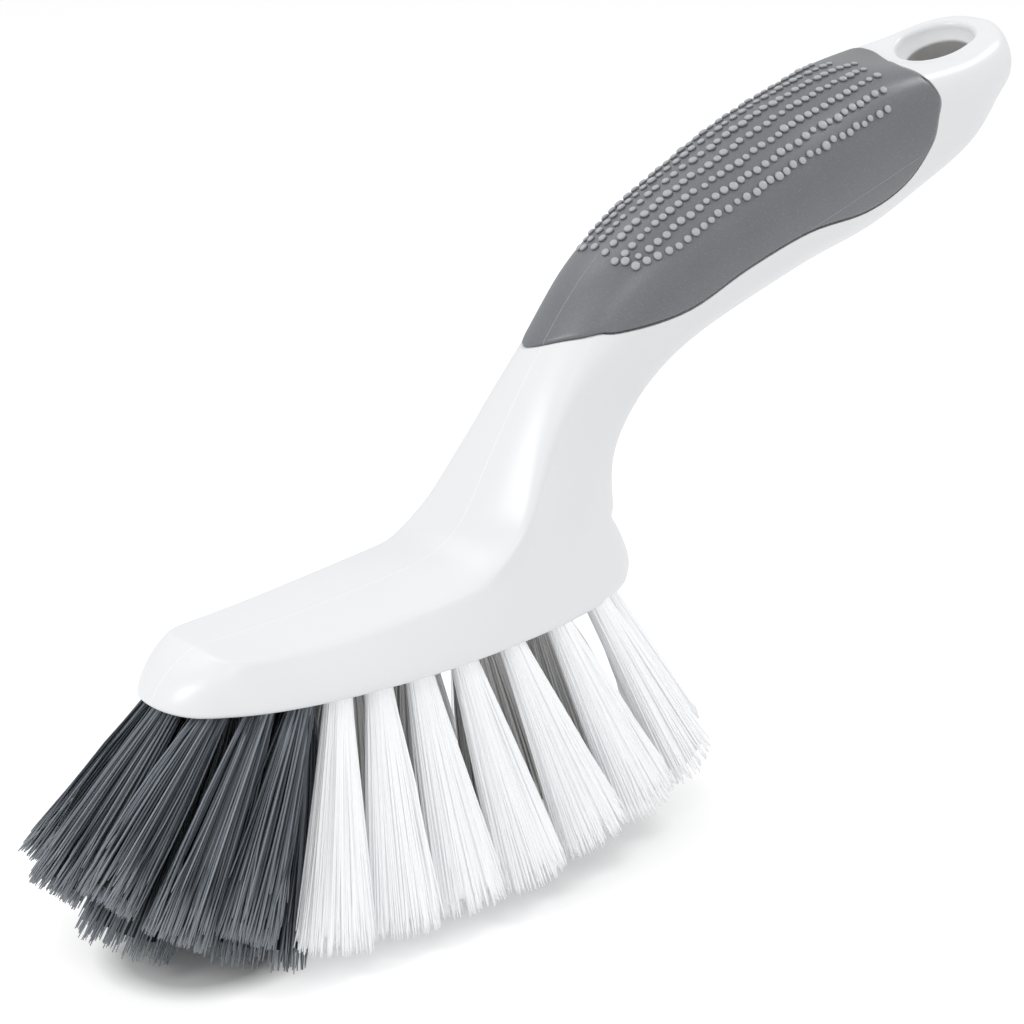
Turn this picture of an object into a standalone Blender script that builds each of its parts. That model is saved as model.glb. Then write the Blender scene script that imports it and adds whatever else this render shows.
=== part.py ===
"""Bathroom cleaning brush: a moulded head and curved handle, a soft grip, and anchored bristle tufts.

Metres, +Z up. +X runs from the toe of the head to the end of the handle. The brush is the same on
both sides of the XZ plane, but for the soft grip's two ends, which run aslant. The lowest bristle
tips rest on Z = 0, and the origin is below the middle of the whole brush. Inside this file the brush
is drawn in the head's frame, whose zero is the toe end of the flat underside, and one empty then
lifts and shifts all of it.
"""

import math
import random

import bpy
import bmesh
from mathutils import Matrix, Vector

# Head
HEAD_LENGTH = 0.1200
HEAD_WIDTH = 0.0479
HEAD_HEIGHT = 0.0112
TOP_CROWN = 0.0011
RIM_ROUND = 0.0013
RIM_INSET = 0.0006
TOE_BOW = 0.0038
HEEL_BOW = 0.0015

# Neck and handle
HANDLE_LENGTH = 0.1236
HANDLE_RISE = 0.0957
NECK_DEPTH = 0.0350
NECK_WIDTH = 0.0285
GRIP_HEIGHT = 0.0370
GRIP_WIDTH = 0.0370
END_WIDTH = 0.0346
END_THICKNESS = 0.0150
END_BOW = 0.0016
END_SLOPE = math.radians(23)

# Hanging hole
HANG_BORE = 0.0150
HANG_RIM = 0.0190
HANG_TAPER = 0.0042
HANG_SIDES = 32

# Soft grip
GRIP_THICKNESS = 0.0022
FIT_GAP = 0.0003

# Bristle tufts and their anchors
BRISTLE_LENGTH = 0.0513
TUFT_HOLE = 0.0056
TUFT_HOLE_DEPTH = 0.0056
HOLE_OVERRUN = 0.0040
TIP_HALF_WIDTH = 0.0054
STRAND_TIP = 0.0007
TIP_RAGGED = 0.0010
FLOOR_CUT = 0.0005
ANCHOR_THICKNESS = 0.0004
ANCHOR_HEIGHT = 0.0018

SEED = 7

# Where the neck's foot stands along the head, and how the head's ends curve from the rim to the ridge:
# 1 is straight, and more keeps the lower part upright.
NECK_FOOT_share = 0.780
DRAFT_POWER = 1.7

# Of the points halfway from the middle to an edge: how far out they stand, how much of the crown
# they have, and how much of a bow.
HALFWAY_share = 0.55
HALFWAY_CROWN_share = 0.75
HALFWAY_BOW_share = 0.80

# Stations along the head: rim place, ridge place (of HEAD_LENGTH), rim, side and ridge half widths
# (of half HEAD_WIDTH), side and ridge heights, crown (of HEAD_HEIGHT and TOP_CROWN).
HEAD_STATION_shares = (
    (0.024, 0.083, 0.445, 0.460, 0.410, 0.58, 0.90, 0.4),
    (0.062, 0.108, 0.605, 0.590, 0.526, 0.54, 0.89, 0.6),
    (0.142, 0.165, 0.818, 0.722, 0.580, 0.48, 0.865, 0.8),
    (0.285, 0.293, 0.952, 0.830, 0.647, 0.48, 0.91, 1.0),
    (0.435, 0.435, 1.000, 0.877, 0.697, 0.52, 1.055, 1.1),
    (0.555, 0.585, 0.956, 0.860, 0.710, 0.60, 1.24, 1.2),
    (0.660, 0.660, 0.889, 0.830, 0.710, 0.64, 1.31, 1.0),
    (0.758, 0.758, 0.802, 0.764, 0.664, 0.68, 1.42, 1.0),
    (0.855, 0.815, 0.664, 0.660, 0.630, 0.68, 1.50, 1.0),
    (0.934, 0.914, 0.475, 0.555, 0.500, 0.60, 1.61, 1.0),
    (0.988, 0.945, 0.272, 0.385, 0.300, 0.60, 1.37, 0.7),
)
NECK_FIRST_STATION = 5
NECK_LAST_STATION = 9

# Half outlines of a section, from its front or top middle to its back or bottom middle:
# sideways (of half the width) and upwards (of half the height).
SECTION_shares = {
    "root": ((0, 0.91), (0.50, 0.88), (1.085, 0.74), (0.94, 0.36), (0.90, 0), (0.89, -0.33),
             (0.80, -0.88), (0.42, -1.07), (0, -1.09)),
    "foot": ((0, 0.90), (0.50, 0.855), (1.085, 0.70), (0.94, 0.33), (0.885, 0), (0.87, -0.35),
             (0.72, -0.79), (0.39, -0.97), (0, -1.00)),
    "neck": ((0, 0.965), (0.50, 0.915), (1.03, 0.76), (0.90, 0.33), (0.867, 0), (0.87, -0.38),
             (0.74, -0.78), (0.40, -0.97), (0, -1.00)),
    "throat": ((0, 1.145), (0.50, 1.075), (0.965, 0.885), (0.92, 0.40), (0.90, 0), (0.86, -0.42),
               (0.74, -0.78), (0.40, -0.97), (0, -1.00)),
    "grip": ((0, 1.02), (0.42, 0.935), (0.755, 0.745), (0.96, 0.42), (1.00, 0), (0.96, -0.42),
             (0.78, -0.78), (0.40, -0.98), (0, -1.03)),
    "yoke": ((0, 0.81), (0.50, 0.89), (0.87, 0.95), (0.99, 0.52), (1.00, 0), (0.96, -0.42),
             (0.79, -0.80), (0.43, -0.97), (0, -1.01)),
    "end": ((0, 1.00), (0.50, 0.99), (0.86, 0.85), (0.99, 0.41), (1.00, 0), (0.96, -0.42),
            (0.80, -0.80), (0.45, -0.97), (0, -1.00)),
}
SECTION_SIZES = {
    "root": (NECK_DEPTH, NECK_WIDTH),
    "foot": (NECK_DEPTH, NECK_WIDTH),
    "neck": (NECK_DEPTH, NECK_WIDTH),
    "throat": (NECK_DEPTH, NECK_WIDTH),
    "grip": (GRIP_HEIGHT, GRIP_WIDTH),
    "end": (END_THICKNESS, END_WIDTH),
}

# Sections up the neck and handle: place (of HANDLE_LENGTH and HANDLE_RISE from the neck's foot),
# slope of the handle in degrees, height and width shares of the named section's sizes.
HANDLE_STATION_shares = (
    (0.000, 0.090, 86, 1.05, 1.09, "root"),
    (0.022, 0.156, 84, 1.00, 1.00, "foot"),
    (0.052, 0.241, 79, 0.84, 0.91, "neck"),
    (0.106, 0.330, 70, 0.735, 0.875, "throat"),
    (0.152, 0.420, 60, 0.715, 0.73, "grip"),
    (0.222, 0.511, 48, 0.78, 0.83, "grip"),
    (0.321, 0.583, 38, 0.82, 0.925, "grip"),
    (0.439, 0.650, 30, 0.87, 0.98, "grip"),
    (0.567, 0.719, 24, 0.95, 1.00, "grip"),
    (0.700, 0.761, 20.5, 1.00, 1.00, "grip"),
    (0.814, 0.815, 21.5, 2.16, 1.06, "end"),
)
# Sections around the hanging hole: place along the end (of half END_WIDTH), height and width
# shares, how far the section's top stands over the hole's plane (of half END_THICKNESS), and kind.
END_STATION_shares = (
    (-0.57, 1.69, 1.12, 0.35, "yoke"),
    (0.00, 1.09, 1.00, 0.07, "end"),
    (0.42, 0.99, 0.90, -0.04, "end"),
    (0.68, 0.79, 0.66, -0.11, "end"),
    (0.83, 0.62, 0.36, -0.19, "end"),
)

# The soft grip's edge seen from the side, from the neck round below to the hanging hole: reach and
# rise (of HANDLE_LENGTH and HANDLE_RISE from the neck's foot), and how much further along and up
# the edge runs on the far side than in the middle. Its first and last points run clear of the handle.
GRIP_EDGE_shares = (
    (-0.100, 0.449, 0, -0.028),
    (0.007, 0.455, 0, -0.028),
    (0.044, 0.461, 0, -0.026),
    (0.074, 0.471, 0, -0.017),
    (0.102, 0.485, 0, -0.009),
    (0.134, 0.491, 0, -0.002),
    (0.266, 0.525, 0, 0),
    (0.390, 0.595, 0, 0),
    (0.535, 0.651, 0, 0),
    (0.685, 0.668, 0, 0),
    (0.783, 0.716, 0, 0),
    (0.838, 0.800, 0.001, 0),
    (0.855, 0.864, 0.006, 0),
    (0.870, 0.902, 0.015, 0),
    (0.872, 0.940, 0.031, 0),
    (0.872, 0.967, 0.041, 0),
    (0.874, 1.080, 0.041, 0),
)
GRIP_EDGE_STEPS = 3
GRIP_SKEW_share = 0.44
PRISM_TOP_share = 1.30
TUBE_SECTIONS = slice(2, -2)

# How crisp the moulding's soft ridges are: round the head's top, and up the neck's front corner
# and side, from the head to the grip. The last two values are these corners' places in a section.
TOP_CREASE_share = 0.60
NECK_CREASE_shares = (0.50, 0.50, 0.42, 0.28)
FRONT_CORNER = 2
SIDE_CORNER = 5

# Tufts: name, root place (of HEAD_LENGTH, and of half HEAD_WIDTH from the middle), lean towards
# the handle and away from the middle in degrees, length (of BRISTLE_LENGTH), strand pattern, colour.
# A tuft off the middle has a twin on the other side.
RING_TUFT_shares = (
    ("toe", 0.041, 0.000, -43, 0, 0.84, "sparse", "dark"),
    ("corner", 0.080, 0.332, -43, 6, 0.84, "sparse", "dark"),
    ("dark_2", 0.138, 0.551, -35, 11, 0.93, "sparse", "dark"),
    ("dark_3", 0.200, 0.679, -29, 14, 0.92, "sparse", "dark"),
    ("side_1", 0.264, 0.724, -14, 16, 0.98, "sparse", "pale"),
    ("side_2", 0.342, 0.746, -5.5, 16, 0.975, "sparse", "pale"),
    ("side_3", 0.426, 0.755, 2.5, 16, 0.97, "sparse", "pale"),
    ("side_4", 0.520, 0.750, 9.5, 16, 0.965, "sparse", "pale"),
    ("side_5", 0.627, 0.736, 17, 15, 0.93, "sparse", "pale"),
    ("side_6", 0.747, 0.670, 21.5, 14, 0.90, "sparse", "pale"),
    ("side_7", 0.866, 0.513, 26.5, 11, 0.875, "sparse", "pale"),
    ("heel", 0.945, 0.000, 30, 0, 0.88, "sparse", "pale"),
)
INNER_TUFT_shares = (
    ("inner_1", 0.150, 0.000, -30, 0, 1.09, "full", "dark"),
    ("inner_2", 0.240, 0.314, -21, 12, 1.09, "full", "dark"),
    ("inner_3", 0.375, 0.000, -4, 0, 1.00, "full", "pale"),
    ("inner_4", 0.515, 0.000, 6, 0, 1.00, "full", "pale"),
    ("inner_5", 0.655, 0.000, 15, 0, 0.99, "full", "pale"),
    ("inner_6", 0.800, 0.000, 23, 0, 0.96, "full", "pale"),
)
TIP_SPREAD_share = 0.43
INNER_SPREAD_share = 1.25
STRAND_INSET_share = 0.62
RING_POINTS = 12

COLOURS = {
    "body": ((0.90, 0.905, 0.915), 0.38),
    "grip": ((0.175, 0.190, 0.205), 0.62),
    "dark": ((0.055, 0.064, 0.074), 0.45),
    "pale": ((0.86, 0.87, 0.90), 0.42),
    "anchor": ((0.72, 0.56, 0.30), 0.35),
}


def clear_scene():
    for old in list(bpy.data.objects):
        bpy.data.objects.remove(old)


def collection(name):
    made = bpy.data.collections.new(name)
    bpy.context.scene.collection.children.link(made)
    return made


def material(name, metallic=0.0):
    made = bpy.data.materials.new(name)
    made.use_nodes = True
    shader = made.node_tree.nodes["Principled BSDF"]
    colour, roughness = COLOURS[name]
    shader.inputs["Base Color"].default_value = (*colour, 1.0)
    shader.inputs["Roughness"].default_value = roughness
    shader.inputs["Metallic"].default_value = metallic
    return made


def new_object(name, mesh, group, surface=None):
    made = bpy.data.objects.new(name, mesh)
    group.objects.link(made)
    if surface is not None:
        mesh.materials.append(surface)
        mesh.shade_smooth()
        mesh.set_sharp_from_angle(angle=math.radians(40))
    else:
        made.hide_render = True
        made.display_type = "WIRE"
    return made


def mesh_from(builder, name):
    mesh = bpy.data.meshes.new(name)
    bmesh.ops.recalc_face_normals(builder, faces=builder.faces[:])
    builder.to_mesh(mesh)
    builder.free()
    return mesh


def cut(target, cutter, operation="DIFFERENCE"):
    modifier = target.modifiers.new(cutter.name, "BOOLEAN")
    modifier.operation = operation
    modifier.object = cutter
    modifier.solver = "EXACT"


def mirror_and_round(target):
    mirror = target.modifiers.new("both_sides", "MIRROR")
    mirror.use_axis = (False, True, False)
    mirror.use_clip = True
    mirror.merge_threshold = 0.00001
    rounding = target.modifiers.new("rounding", "SUBSURF")
    rounding.levels = 1
    rounding.render_levels = 1


def handle_point(reach_share, rise_share):
    return Vector((
        HEAD_LENGTH * NECK_FOOT_share + HANDLE_LENGTH * reach_share,
        0,
        HEAD_HEIGHT + HANDLE_RISE * rise_share,
    ))


def hole_centre():
    return handle_point(1, 1)


def end_frame():
    """The directions along the handle's end and up from it."""
    return (Vector((math.cos(END_SLOPE), 0, math.sin(END_SLOPE))),
            Vector((-math.sin(END_SLOPE), 0, math.cos(END_SLOPE))))


def handle_sections():
    """Each section of the neck and handle: its middle, slope, half height, half width and kind."""
    sections = []
    for reach, rise, slope, height, width, kind in HANDLE_STATION_shares:
        full_height, full_width = SECTION_SIZES[kind]
        sections.append((handle_point(reach, rise), math.radians(slope), full_height * height / 2,
                         full_width * width / 2, kind))
    along, up = end_frame()
    for place, height, width, lift, kind in END_STATION_shares:
        half_height = END_THICKNESS * height / 2
        middle = (hole_centre() + along * (END_WIDTH / 2 * place)
                  + up * (END_THICKNESS / 2 * lift - half_height))
        sections.append((middle, END_SLOPE, half_height, END_WIDTH * width / 2, kind))
    return sections


def section_ring(builder, section, inset=0.0):
    """Vertices of half a section on the +Y side, from its top middle to its bottom middle."""
    middle, slope, half_height, half_width, kind = section
    up = Vector((-math.sin(slope), 0, math.cos(slope)))
    side = Vector((0, 1, 0))
    return [
        builder.verts.new(middle + side * (sideways * (half_width - inset))
                          + up * (upwards * (half_height - inset)))
        for sideways, upwards in SECTION_shares[kind]
    ]


def skin(builder, first, second):
    for index in range(len(first) - 1):
        builder.faces.new((first[index], first[index + 1], second[index + 1], second[index]))


def crease(builder, line, shares):
    """Keeps the edges along this line of vertices crisp, each by its own share."""
    layers = builder.edges.layers.float
    sharpness = layers.get("crease_edge") or layers.new("crease_edge")
    for first, second, share in zip(line, line[1:], shares):
        builder.edges.get((first, second))[sharpness] = share


def grid_cap(builder, ring, top, bottom, bow):
    """Closes half a ring with two columns of faces. Each row between top and bottom is bowed out."""
    rows = [top]
    for vertex in ring:
        middle = Vector((vertex.co.x, 0, vertex.co.z)) + bow
        halfway = Vector((vertex.co.x, vertex.co.y * HALFWAY_share, vertex.co.z))
        halfway += bow * HALFWAY_BOW_share
        rows.append((builder.verts.new(middle), builder.verts.new(halfway), vertex))
    rows.append(bottom)
    for upper, lower in zip(rows, rows[1:]):
        for column in range(2):
            builder.faces.new((upper[column], upper[column + 1], lower[column + 1], lower[column]))


def head_ring(builder, station):
    rim_place, ridge_place, rim, side, ridge, side_height, ridge_height, crown = station
    half = HEAD_WIDTH / 2
    rim_x = HEAD_LENGTH * rim_place
    ridge_x = HEAD_LENGTH * ridge_place
    ridge_z = HEAD_HEIGHT * ridge_height
    side_z = HEAD_HEIGHT * side_height

    def draft(height):
        return rim_x + (ridge_x - rim_x) * (height / ridge_z) ** DRAFT_POWER

    top_crown = TOP_CROWN * crown
    points = (
        (rim_x, 0, 0),
        (rim_x, half * rim / 2, 0),
        (rim_x, half * rim - RIM_INSET, 0),
        (draft(RIM_ROUND), half * rim, RIM_ROUND),
        (draft(side_z), half * side, side_z),
        (ridge_x, half * ridge, ridge_z),
        (ridge_x, half * ridge * HALFWAY_share, ridge_z + top_crown * HALFWAY_CROWN_share),
        (ridge_x, 0, ridge_z + top_crown),
    )
    return [builder.verts.new(point) for point in points]


def body_cage():
    """Half of the head, neck and handle as one coarse cage."""
    builder = bmesh.new()
    rings = [head_ring(builder, station) for station in HEAD_STATION_shares]
    for number, (first, second) in enumerate(zip(rings, rings[1:])):
        under_neck = NECK_FIRST_STATION <= number < NECK_LAST_STATION
        count = 6 if under_neck else 8
        skin(builder, first[:count], second[:count])
    for ring, bow in ((rings[0], -TOE_BOW), (rings[-1], HEEL_BOW)):
        ring[0].co.x += bow
        ring[1].co.x += bow * HALFWAY_BOW_share
        grid_cap(builder, (ring[4], ring[3]), (ring[7], ring[6], ring[5]),
                 (ring[0], ring[1], ring[2]), Vector((bow, 0, 0)))
    front = rings[NECK_FIRST_STATION]
    back = rings[NECK_LAST_STATION]
    sides = [ring[5] for ring in rings[NECK_FIRST_STATION + 1:NECK_LAST_STATION]]
    foot = [front[7], front[6], front[5], *sides, back[5], back[6], back[7]]
    neck = [foot]
    for section in handle_sections():
        neck.append(section_ring(builder, section))
        skin(builder, neck[-2], neck[-1])
    top_edge = [rings[0][7], rings[0][6], *[ring[5] for ring in rings[:NECK_LAST_STATION]]]
    crease(builder, top_edge, [TOP_CREASE_share] * len(top_edge))
    for corner in (FRONT_CORNER, SIDE_CORNER):
        crease(builder, [ring[corner] for ring in neck], NECK_CREASE_shares)
    last = neck[-1]
    along, _ = end_frame()
    grid_cap(builder, last[3:6], last[:3], last[:-4:-1], along * END_BOW)
    return mesh_from(builder, "body_cage")


def handle_tube(inset):
    """Half of the handle alone, closed at both ends, drawn in by the inset all round."""
    builder = bmesh.new()
    rings = [section_ring(builder, section, inset) for section in handle_sections()[TUBE_SECTIONS]]
    for first, second in zip(rings, rings[1:]):
        skin(builder, first, second)
    for ring in (rings[0], rings[-1]):
        grid_cap(builder, ring[3:6], ring[:3], ring[:-4:-1], Vector((0, 0, 0)))
    return mesh_from(builder, "handle_tube")


def smooth_line(points, steps):
    """Points of a smooth line through the given points, with this many steps between each two."""
    line = []
    for index in range(len(points) - 1):
        before = points[max(index - 1, 0)]
        start, end = points[index], points[index + 1]
        after = points[min(index + 2, len(points) - 1)]
        for step in range(steps):
            t = step / steps
            line.append((
                start * 2 + (end - before) * t
                + (before * 2 - start * 5 + end * 4 - after) * t ** 2
                + (start * 3 - before - end * 3 + after) * t ** 3
            ) / 2)
    line.append(points[-1])
    return line


def grip_outline(side, grown):
    """The soft grip's outline on one side, as (x, z), moved outwards by the given distance."""
    edge = [handle_point(reach + side * more_reach, rise + side * more_rise)
            for reach, rise, more_reach, more_rise in GRIP_EDGE_shares]
    edge = [Vector((point.x, point.z)) for point in edge]
    line = [edge[0], *smooth_line(edge[1:], GRIP_EDGE_STEPS)]
    top = HEAD_HEIGHT + HANDLE_RISE * PRISM_TOP_share
    line += [Vector((line[-1].x, top)), Vector((line[0].x, top))]
    moved = []
    for index, point in enumerate(line):
        before, after = line[index - 1], line[(index + 1) % len(line)]
        first = (point - before).normalized()
        second = (after - point).normalized()
        first_out = Vector((first.y, -first.x))
        second_out = Vector((second.y, -second.x))
        outwards = (first_out + second_out).normalized()
        moved.append(point + outwards * (grown / outwards.dot(first_out)))
    return moved


def side_prism(name, grown, group):
    """A solid over the soft grip's outline, wider than the handle. The outline changes from the
    near side's to the far side's across the middle of the handle."""
    near, far = grip_outline(-1, grown), grip_outline(1, grown)
    middle = GRIP_WIDTH / 2 * GRIP_SKEW_share
    builder = bmesh.new()
    rings = [[builder.verts.new((point.x, y, point.y)) for point in outline]
             for outline, y in ((near, -GRIP_WIDTH), (near, -middle), (far, middle), (far, GRIP_WIDTH))]
    for first, second in zip(rings, rings[1:]):
        for index in range(len(first)):
            after = (index + 1) % len(first)
            builder.faces.new((first[index], first[after], second[after]))
            builder.faces.new((first[index], second[after], second[index]))
    builder.faces.new(rings[0])
    builder.faces.new(rings[-1])
    return new_object(name, mesh_from(builder, name), group)


def add_grip(parts, cutters):
    """The soft grip, and the recess that it sits in, as a cutter for the body."""
    grip = new_object("soft_grip", handle_tube(0.0), parts, material("grip"))
    mirror_and_round(grip)
    region = side_prism("grip_region", 0.0, cutters)
    core = new_object("grip_core", handle_tube(GRIP_THICKNESS), cutters)
    mirror_and_round(core)
    cut(grip, region, "INTERSECT")
    cut(grip, core)
    recess = side_prism("grip_recess", FIT_GAP, cutters)
    recess_core = new_object("grip_recess_core", handle_tube(GRIP_THICKNESS + FIT_GAP), cutters)
    mirror_and_round(recess_core)
    cut(recess, recess_core)
    return grip, recess


def hang_hole(group):
    """The hanging hole as a cutter: a bore that widens to its rim in the plane of the handle's end."""
    middle = hole_centre()
    along, up = end_frame()
    profile = ((HANG_BORE, -2 * END_THICKNESS), (HANG_BORE, -HANG_TAPER), (HANG_RIM, 0),
               (HANG_RIM, END_THICKNESS))
    builder = bmesh.new()
    rings = []
    for diameter, height in profile:
        rings.append([builder.verts.new(
            middle + up * height + along * (diameter / 2 * math.cos(math.tau * k / HANG_SIDES))
            + Vector((0, diameter / 2 * math.sin(math.tau * k / HANG_SIDES), 0)))
            for k in range(HANG_SIDES)])
    for first, second in zip(rings, rings[1:]):
        for k in range(HANG_SIDES):
            after = (k + 1) % HANG_SIDES
            builder.faces.new((first[k], first[after], second[after], second[k]))
    builder.faces.new(rings[0])
    builder.faces.new(rings[-1])
    return new_object("hang_hole", mesh_from(builder, "hang_hole"), group)


def placed(share):
    """A tuft's name, root, axis, length, pattern and colour, on the near side."""
    name, place, across, lean, splay, length, pattern, colour = share
    root = Vector((HEAD_LENGTH * place, -HEAD_WIDTH / 2 * across, 0))
    axis = Vector((math.tan(math.radians(lean)), -math.tan(math.radians(splay)), -1))
    return name, root, axis.normalized(), BRISTLE_LENGTH * length, pattern, colour


def tuft_plan():
    """Every tuft: name, whether it is mirrored to the far side, and then as for its near twin its
    root, axis, row direction, length, half spread along the row, pattern and colour."""
    ring = [placed(share) for share in RING_TUFT_shares]
    tips = [root + axis * length for _, root, axis, length, _, _ in ring]
    tips = [tips[1] * Vector((1, -1, 1)), *tips, tips[-2] * Vector((1, -1, 1))]
    plan = []
    for index, (name, root, axis, length, pattern, colour) in enumerate(ring):
        before, here, after = tips[index:index + 3]
        row = (after - before).normalized()
        spread = min((here - before).length, (after - here).length) * TIP_SPREAD_share
        plan.append((name, root, axis, row, length, spread, pattern, colour))
    for name, root, axis, length, pattern, colour in map(placed, INNER_TUFT_shares):
        spread = TIP_HALF_WIDTH * INNER_SPREAD_share
        plan.append((name, root, axis, Vector((1, 0, 0)), length, spread, pattern, colour))
    tufts = []
    for name, *rest in plan:
        if rest[0].y == 0:
            tufts.append((name, False, *rest))
        else:
            tufts.append((name + "_near", False, *rest))
            tufts.append((name + "_far", True, *rest))
    return tufts


def disc_points():
    """The middle, six points halfway out and twelve on the rim of a unit disc."""
    inner = [(math.cos(math.tau * k / 6) / 2, math.sin(math.tau * k / 6) / 2) for k in range(6)]
    outer = [(math.cos(math.tau * k / RING_POINTS), math.sin(math.tau * k / RING_POINTS))
             for k in range(RING_POINTS)]
    return [(0.0, 0.0), *inner, *outer]


def disc_triangles():
    """Triangles over the disc's points, and for each whether it carries a strand in each pattern."""
    triangles = []
    for k in range(6):
        first, second = 1 + k, 1 + (k + 1) % 6
        before = 7 + (2 * k - 1) % RING_POINTS
        here = 7 + 2 * k
        after = 7 + (2 * k + 1) % RING_POINTS
        triangles.append(((0, first, second), k % 2 == 0, True))
        triangles.append(((first, before, here), True, True))
        triangles.append(((first, here, after), True, True))
        triangles.append(((first, after, second), False, False))
    return triangles


def tuft_mesh(name, root, axis, row, length, spread, pattern, floor):
    """A packed root and its flared strands as one body, and how low its strands would reach. They
    end flat, none below the floor."""
    chance = random.Random(SEED)
    along = (row - axis * row.dot(axis)).normalized()
    across = axis.cross(along)
    radius = TUFT_HOLE / 2 - FIT_GAP
    builder = bmesh.new()

    def at(place, share):
        wide = radius + (spread - radius) * share
        deep = radius + (TIP_HALF_WIDTH - radius) * share
        return (root + axis * (length * share) + along * (wide * place[0])
                + across * (deep * place[1]))

    places = disc_points()
    face_ring = [builder.verts.new(at(place, 0)) for place in places]
    rise = -axis * (TUFT_HOLE_DEPTH - FIT_GAP)
    top_ring = [builder.verts.new(vertex.co + rise) for vertex in face_ring[7:]]
    for k in range(RING_POINTS):
        after = (k + 1) % RING_POINTS
        builder.faces.new((face_ring[7 + k], face_ring[7 + after], top_ring[after], top_ring[k]))
    builder.faces.new(top_ring)
    lowest = 0.0
    for corners, in_sparse, in_full in disc_triangles():
        carries = in_sparse if pattern == "sparse" else in_full
        if not carries:
            builder.faces.new([face_ring[corner] for corner in corners])
            continue
        centre = Vector((sum(places[c][0] for c in corners), sum(places[c][1] for c in corners))) / 3
        small = [centre + (Vector(places[c]) - centre) * STRAND_INSET_share for c in corners]
        foot = [builder.verts.new(at(place, 0)) for place in small]
        for k in range(3):
            after = (k + 1) % 3
            builder.faces.new((face_ring[corners[k]], face_ring[corners[after]], foot[after], foot[k]))
        reach = 1 - chance.random() * TIP_RAGGED / length
        tip_middle = at(centre, reach)
        lowest = min(lowest, tip_middle.z)
        tip_middle.z = max(tip_middle.z, floor)
        tip = []
        for k in range(3):
            angle = math.tau * k / 3 + math.atan2(small[0].y - centre.y, small[0].x - centre.x)
            tip.append(tip_middle + (along * math.cos(angle) + across * math.sin(angle)) * STRAND_TIP)
        tip = [builder.verts.new((point.x, point.y, tip_middle.z)) for point in tip]
        for k in range(3):
            after = (k + 1) % 3
            builder.faces.new((foot[k], foot[after], tip[after], tip[k]))
        builder.faces.new(tip)
    return mesh_from(builder, name), lowest


def box_mesh(name, turn, size, middle):
    builder = bmesh.new()
    place = Matrix.Translation(middle) @ turn.to_4x4() @ Matrix.Diagonal((*size, 1))
    bmesh.ops.create_cube(builder, size=1, matrix=place)
    return mesh_from(builder, name)


def cylinder_mesh(name, diameter, start, end):
    """A closed cylinder from start to end, with as many sides as a tuft's packed root."""
    axis = end - start
    turn = axis.to_track_quat("Z", "Y").to_matrix().to_4x4()
    builder = bmesh.new()
    bmesh.ops.create_cone(builder, cap_ends=True, segments=RING_POINTS, radius1=diameter / 2,
                          radius2=diameter / 2, depth=axis.length,
                          matrix=Matrix.Translation((start + end) / 2) @ turn)
    return mesh_from(builder, name)


def mirrored(mesh):
    """The mesh on the other side of the XZ plane."""
    mesh.transform(Matrix.Diagonal((1, -1, 1, 1)))
    mesh.flip_normals()
    return mesh


def add_tufts(parts, cutters):
    """Tufts with their anchors. Returns the hole cutters and the height of the underside."""
    tufts = tuft_plan()
    deepest = 0.0
    for name, _, *shape, _ in tufts:
        mesh, lowest = tuft_mesh(name, *shape, -2 * BRISTLE_LENGTH)
        deepest = min(deepest, lowest)
        bpy.data.meshes.remove(mesh)
    floor = deepest + FLOOR_CUT
    surfaces = {"dark": material("dark"), "pale": material("pale")}
    metal = material("anchor", 1.0)
    slot_height = ANCHOR_HEIGHT + 2 * FIT_GAP
    slot_size = (TUFT_HOLE * 2, ANCHOR_THICKNESS + 2 * FIT_GAP, slot_height)
    anchor_size = (TUFT_HOLE - 2 * FIT_GAP, ANCHOR_THICKNESS, ANCHOR_HEIGHT)
    holes = []
    for name, on_far_side, *shape, colour in tufts:
        root, axis, row = shape[:3]
        along = (row - axis * row.dot(axis)).normalized()
        turn = Matrix((along, axis.cross(along), axis)).transposed()
        bottom = root - axis * TUFT_HOLE_DEPTH
        meshes = [
            tuft_mesh(name, *shape, floor)[0],
            box_mesh("slot", turn, slot_size, bottom + axis * (slot_height / 2)),
            box_mesh("anchor", turn, anchor_size, bottom + axis * (slot_height / 2)),
            cylinder_mesh("hole", TUFT_HOLE, bottom, root + axis * HOLE_OVERRUN),
        ]
        if on_far_side:
            meshes = [mirrored(mesh) for mesh in meshes]
        tuft = new_object("tuft_" + name, meshes[0], parts, surfaces[colour])
        cut(tuft, new_object("slot_" + name, meshes[1], cutters))
        new_object("anchor_" + name, meshes[2], parts, metal)
        holes.append(meshes[3])
    return holes, -floor


def joined(name, meshes, group):
    """One cutter made of several meshes that lie apart."""
    builder = bmesh.new()
    for mesh in meshes:
        builder.from_mesh(mesh)
        bpy.data.meshes.remove(mesh)
    return new_object(name, mesh_from(builder, name), group)


def main():
    clear_scene()
    parts = collection("bathroom_cleaning_brush")
    cutters = collection("cutters")
    body = new_object("handle_body", body_cage(), parts, material("body"))
    mirror_and_round(body)
    grip, recess = add_grip(parts, cutters)
    cut(body, recess)
    cut(body, hang_hole(cutters))
    holes, stand_height = add_tufts(parts, cutters)
    cut(body, joined("tuft_holes", holes, cutters))

    carrier = bpy.data.objects.new("brush_origin", None)
    parts.objects.link(carrier)
    bpy.context.view_layer.update()
    graph = bpy.context.evaluated_depsgraph_get()
    ends = [corner[0] for piece in parts.objects if piece.type == "MESH"
            for corner in piece.evaluated_get(graph).bound_box]
    carrier.location = (-(min(ends) + max(ends)) / 2, 0, stand_height)
    for piece in [*parts.objects, *cutters.objects]:
        if piece is not carrier:
            piece.parent = carrier


main()
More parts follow.
